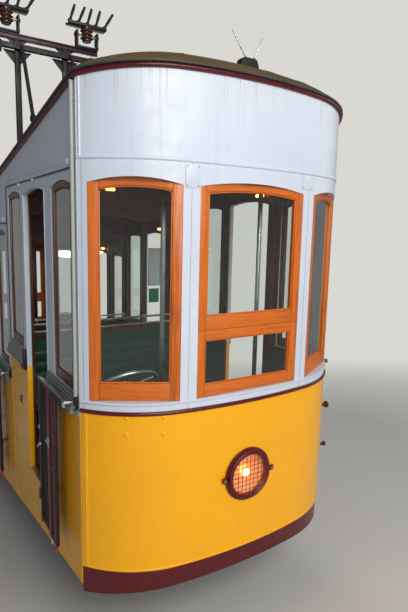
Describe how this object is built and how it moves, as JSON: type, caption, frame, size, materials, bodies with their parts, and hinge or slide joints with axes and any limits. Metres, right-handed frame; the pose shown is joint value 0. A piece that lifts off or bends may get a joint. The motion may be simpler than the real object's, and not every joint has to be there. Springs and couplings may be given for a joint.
{
  "type": "funicular car",
  "caption": "Stepped funicular car with level compartments on a sloping frame, bowed glazed ends, arched windows, half-height gates and a roof collector",
  "frame": {"origin": "on the centre plane, midway between the two wheelsets, at the lowest points of the wheel flanges", "axes": "+Z square to the track and up, +Y along the track down the hill, +X across the car"},
  "size_m": [2.22, 6.7252, 4.4035],
  "materials": {
    "frame_steel": "dull black paint, dusty",
    "wheel_steel": "cast and turned steel, treads worn bright",
    "yellow_enamel": "gloss yellow paint, rust and water streaks",
    "white_enamel": "gloss white paint, slightly yellowed",
    "maroon_enamel": "gloss maroon paint",
    "roof_paint": "weathered olive-brown paint",
    "sash_wood": "varnished",
    "dark_wood": "varnished dark",
    "bench_wood": "varnished slats",
    "floor_board": "worn boards",
    "window_glass": "clear, dusty",
    "lamp_glass": "clear",
    "bright_steel": "rubbed bright by hands",
    "grey_metal": "grey-green paint",
    "gate_paint": "dark paint",
    "cast_fittings": "black enamel",
    "gantry_iron": "dark maroon-brown and black paint, rusting",
    "insulator": "brown glazed"
  },
  "bodies": {
    "car": {"girders_and_sole_bars": "frame_steel", "cross_members": "frame_steel", "floor_webs": "frame_steel", "jack_pads": "frame_steel", "axle_boxes": "frame_steel", "leaf_springs": "frame_steel", "cable_gripper": "frame_steel", "brake_blocks": "wheel_steel", "brake_beams": "frame_steel", "traction_motor": "frame_steel", "floor_uphill": "floor_board", "floor_middle": "floor_board", "floor_downhill": "floor_board", "side_lower_left": "yellow_enamel", "side_lower_right": "yellow_enamel", "end_lower_uphill": "yellow_enamel", "end_lower_downhill": "yellow_enamel", "end_upper_uphill": "white_enamel", "end_upper_downhill": "white_enamel", "end_fascia_uphill": "white_enamel", "end_fascia_downhill": "white_enamel", "end_skirts": "maroon_enamel", "waist_mouldings": "maroon_enamel", "roof_trim": "maroon_enamel", "roof": "roof_paint", "end_sashes": "sash_wood", "side_sashes": "dark_wood", "end_glass": "window_glass", "side_glass": "window_glass", "window_sills": "grey_metal", "drain_pipes": "white_enamel", "headlights": "maroon_enamel", "headlight_lenses": "lamp_glass", "bulkheads": "dark_wood", "bench_seats": "bench_wood", "bench_frames": "dark_wood", "brake_columns": "cast_fittings", "handrails": "bright_steel", "gantry_posts": "gantry_iron", "gantry_braces": "gantry_iron", "gantry_beams": "gantry_iron", "collector_heads": "insulator", "aerial": "gate_paint", "gate_hinges": "cast_fittings", "gate_fittings": "cast_fittings", "side_upper_left_uphill": "white_enamel", "side_upper_left_middle": "white_enamel", "side_upper_left_downhill": "white_enamel", "side_upper_right_uphill": "white_enamel", "side_upper_right_middle": "white_enamel", "side_upper_right_downhill": "white_enamel"},
    "wheelset_uphill": {"wheelset_uphill": "wheel_steel"},
    "wheelset_downhill": {"wheelset_downhill": "wheel_steel"},
    "gate_left_uphill": {"gate_left_uphill": "gate_paint"},
    "gate_left_middle": {"gate_left_middle": "gate_paint"},
    "gate_left_downhill": {"gate_left_downhill": "gate_paint"},
    "gate_right_uphill": {"gate_right_uphill": "gate_paint"},
    "gate_right_middle": {"gate_right_middle": "gate_paint"},
    "gate_right_downhill": {"gate_right_downhill": "gate_paint"}
  },
  "joints": [
    {"name": "wheelset_uphill_spin", "type": "hinge", "parent": "car", "child": "wheelset_uphill", "pos_m": [0, -1.55, 0.335], "axis": [1, 0, 0], "continuous": true},
    {"name": "wheelset_downhill_spin", "type": "hinge", "parent": "car", "child": "wheelset_downhill", "pos_m": [0, 1.55, 0.335], "axis": [1, 0, 0], "continuous": true},
    {"name": "gate_left_uphill_swing", "type": "hinge", "parent": "car", "child": "gate_left_uphill", "pos_m": [-1.026, -2.23036, 1.15438], "axis": [0, 0.1618, -0.9868], "range_deg": [0, 180]},
    {"name": "gate_left_middle_swing", "type": "hinge", "parent": "car", "child": "gate_left_middle", "pos_m": [-1.026, -0.37593, 1.15438], "axis": [0, 0.1618, -0.9868], "range_deg": [0, 180]},
    {"name": "gate_left_downhill_swing", "type": "hinge", "parent": "car", "child": "gate_left_downhill", "pos_m": [-1.026, 1.47849, 1.15438], "axis": [0, 0.1618, -0.9868], "range_deg": [0, 180]},
    {"name": "gate_right_uphill_swing", "type": "hinge", "parent": "car", "child": "gate_right_uphill", "pos_m": [1.026, -2.23036, 1.15438], "axis": [0, -0.1618, 0.9868], "range_deg": [0, 180]},
    {"name": "gate_right_middle_swing", "type": "hinge", "parent": "car", "child": "gate_right_middle", "pos_m": [1.026, -0.37593, 1.15438], "axis": [0, -0.1618, 0.9868], "range_deg": [0, 180]},
    {"name": "gate_right_downhill_swing", "type": "hinge", "parent": "car", "child": "gate_right_downhill", "pos_m": [1.026, 1.47849, 1.15438], "axis": [0, -0.1618, 0.9868], "range_deg": [0, 180]}
  ]
}
